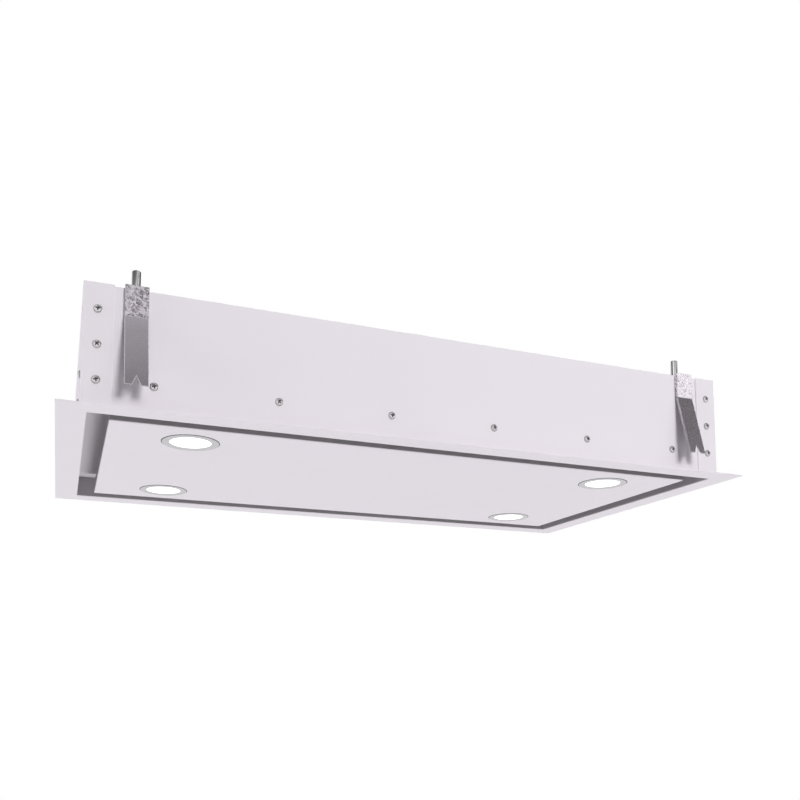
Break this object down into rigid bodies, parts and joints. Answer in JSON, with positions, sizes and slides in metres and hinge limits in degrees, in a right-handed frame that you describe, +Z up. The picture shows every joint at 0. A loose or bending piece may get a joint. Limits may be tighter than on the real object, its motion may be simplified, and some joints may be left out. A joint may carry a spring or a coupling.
{
  "type": "ceiling range hood",
  "caption": "Flat range hood for building into a ceiling, with a hinged perimeter suction panel, lamps, grease filters, a low blower, a flat duct collar and screw-driven spring clamps.",
  "frame": {"origin": "centre of the trim frame's underside, the face that is flush with the ceiling", "axes": "+X along the long side to the right, -Y towards the pictured long side, +Z up into the ceiling"},
  "size_m": [0.9, 0.504, 0.169],
  "materials": {
    "white_paint": "satin",
    "zinc_sheet": "satin",
    "screw_zinc": "satin",
    "bright_steel": "satin",
    "dark_steel": "satin",
    "black_plastic": "matte",
    "aluminium": "satin",
    "filter_mesh": "satin",
    "lamp_bezel": "satin",
    "lamp_lens": "gloss",
    "lead": "matte",
    "rubber": "matte",
    "winding": "satin",
    "board": "satin",
    "driver_case": "satin",
    "clamp_galvanised": "satin",
    "clamp_leaf": "satin",
    "clamp_rod": "gloss"
  },
  "bodies": {
    "casing": {"trim_frame": "white_paint", "front_panel": "white_paint", "back_panel": "white_paint", "left_panel": "white_paint", "right_panel": "white_paint", "filter_deck": "white_paint", "top_panel": "zinc_sheet", "corner_braces": "zinc_sheet", "scroll_housing": "zinc_sheet", "inlet_plate": "zinc_sheet", "duct_collar": "zinc_sheet", "corner_screws": "screw_zinc", "deck_screws": "screw_zinc", "small_screws": "screw_zinc", "hinge_brackets": "bright_steel", "damper_pin": "bright_steel", "motor_housing": "bright_steel", "motor_lid": "bright_steel", "hinge_pins": "dark_steel", "motor_bearings": "dark_steel", "magnet_catches": "black_plastic", "control_box": "black_plastic", "cable_gland": "black_plastic", "motor_capacitor": "black_plastic", "filter_frame_left": "aluminium", "filter_frame_right": "aluminium", "filter_meshes": "filter_mesh", "inner_leads": "lead", "rubber_mounts": "rubber", "motor_stator": "winding", "control_board": "board", "lamp_driver": "driver_case"},
    "panel": {"suction_panel": "white_paint", "panel_cover": "zinc_sheet", "panel_wiring": "lead", "lamp_bezels": "lamp_bezel", "lamp_lenses": "lamp_lens", "lamp_bodies": "aluminium", "lamp_clips": "bright_steel", "hinge_arms": "bright_steel", "strike_plates": "bright_steel"},
    "rotor": {"impeller": "aluminium", "rotor_shaft": "dark_steel"},
    "flap_left": {"damper_flap_left": "aluminium"},
    "flap_right": {"damper_flap_right": "aluminium"},
    "latch_left": {"filter_latch_left": "black_plastic"},
    "latch_right": {"filter_latch_right": "black_plastic"},
    "rod_front_left": {"clamp_rod_front_left": "clamp_rod"},
    "bracket_front_left": {"clamp_bracket_front_left": "clamp_galvanised"},
    "leaf_front_left": {"clamp_leaf_front_left": "clamp_leaf"},
    "rod_front_right": {"clamp_rod_front_right": "clamp_rod"},
    "bracket_front_right": {"clamp_bracket_front_right": "clamp_galvanised"},
    "leaf_front_right": {"clamp_leaf_front_right": "clamp_leaf"},
    "rod_back_left": {"clamp_rod_back_left": "clamp_rod"},
    "bracket_back_left": {"clamp_bracket_back_left": "clamp_galvanised"},
    "leaf_back_left": {"clamp_leaf_back_left": "clamp_leaf"},
    "rod_back_right": {"clamp_rod_back_right": "clamp_rod"},
    "bracket_back_right": {"clamp_bracket_back_right": "clamp_galvanised"},
    "leaf_back_right": {"clamp_leaf_back_right": "clamp_leaf"}
  },
  "joints": [
    {"name": "panel_hinge", "type": "hinge", "parent": "casing", "child": "panel", "pos_m": [0, 0.19, 0.0225], "axis": [1, 0, 0], "range_deg": [0, 90]},
    {"name": "impeller_spin", "type": "hinge", "parent": "casing", "child": "rotor", "pos_m": [0.02, -0.02996, 0.1], "axis": [0, 0, 1], "continuous": true},
    {"name": "flap_left_hinge", "type": "hinge", "parent": "casing", "child": "flap_left", "pos_m": [0.1375, 0.2287, 0.092], "axis": [0, 0, -1], "range_deg": [0, 75], "stiffness_Nm_per_rad": 0.02, "springref_deg": -11.46},
    {"name": "flap_right_hinge", "type": "hinge", "parent": "casing", "child": "flap_right", "pos_m": [0.1375, 0.2287, 0.092], "axis": [0, 0, 1], "range_deg": [0, 75], "stiffness_Nm_per_rad": 0.02, "springref_deg": -11.46},
    {"name": "latch_left_slide", "type": "slide", "parent": "casing", "child": "latch_left", "axis": [0, 1, 0], "range_m": [0, 0.006], "stiffness_N_per_m": 200, "springref_m": -0.003},
    {"name": "latch_right_slide", "type": "slide", "parent": "casing", "child": "latch_right", "axis": [0, 1, 0], "range_m": [0, 0.006], "stiffness_N_per_m": 200, "springref_m": -0.003},
    {"name": "bracket_front_left_slide", "type": "slide", "parent": "casing", "child": "bracket_front_left", "axis": [0, 0, -1], "range_m": [0, 0.015]},
    {"name": "rod_front_left_spin", "type": "hinge", "parent": "casing", "child": "rod_front_left", "pos_m": [-0.3706, -0.21, 0.1], "axis": [0, 0, 1], "range_deg": [0, 3600]},
    {"name": "leaf_front_left_hinge", "type": "hinge", "parent": "bracket_front_left", "child": "leaf_front_left", "pos_m": [-0.3706, -0.2268, 0.1105], "axis": [1, 0, 0], "range_deg": [0, 14.5], "stiffness_Nm_per_rad": 0.4, "springref_deg": -5.73},
    {"name": "bracket_front_right_slide", "type": "slide", "parent": "casing", "child": "bracket_front_right", "axis": [0, 0, -1], "range_m": [0, 0.015]},
    {"name": "rod_front_right_spin", "type": "hinge", "parent": "casing", "child": "rod_front_right", "pos_m": [0.3706, -0.21, 0.1], "axis": [0, 0, 1], "range_deg": [0, 3600]},
    {"name": "leaf_front_right_hinge", "type": "hinge", "parent": "bracket_front_right", "child": "leaf_front_right", "pos_m": [0.3706, -0.2268, 0.1105], "axis": [1, 0, 0], "range_deg": [0, 14.5], "stiffness_Nm_per_rad": 0.4, "springref_deg": -5.73},
    {"name": "bracket_back_left_slide", "type": "slide", "parent": "casing", "child": "bracket_back_left", "axis": [0, 0, -1], "range_m": [0, 0.015]},
    {"name": "rod_back_left_spin", "type": "hinge", "parent": "casing", "child": "rod_back_left", "pos_m": [-0.3706, 0.21, 0.1], "axis": [0, 0, 1], "range_deg": [0, 3600]},
    {"name": "leaf_back_left_hinge", "type": "hinge", "parent": "bracket_back_left", "child": "leaf_back_left", "pos_m": [-0.3706, 0.2268, 0.1105], "axis": [-1, 0, 0], "range_deg": [0, 14.5], "stiffness_Nm_per_rad": 0.4, "springref_deg": -5.73},
    {"name": "bracket_back_right_slide", "type": "slide", "parent": "casing", "child": "bracket_back_right", "axis": [0, 0, -1], "range_m": [0, 0.015]},
    {"name": "rod_back_right_spin", "type": "hinge", "parent": "casing", "child": "rod_back_right", "pos_m": [0.3706, 0.21, 0.1], "axis": [0, 0, 1], "range_deg": [0, 3600]},
    {"name": "leaf_back_right_hinge", "type": "hinge", "parent": "bracket_back_right", "child": "leaf_back_right", "pos_m": [0.3706, 0.2268, 0.1105], "axis": [-1, 0, 0], "range_deg": [0, 14.5], "stiffness_Nm_per_rad": 0.4, "springref_deg": -5.73}
  ],
  "couplings": [
    {"joint": "rod_front_left_spin", "follows": "bracket_front_left_slide", "rad_per_m": 4188.7},
    {"joint": "rod_front_right_spin", "follows": "bracket_front_right_slide", "rad_per_m": 4188.7},
    {"joint": "rod_back_left_spin", "follows": "bracket_back_left_slide", "rad_per_m": 4188.7},
    {"joint": "rod_back_right_spin", "follows": "bracket_back_right_slide", "rad_per_m": 4188.7}
  ]
}
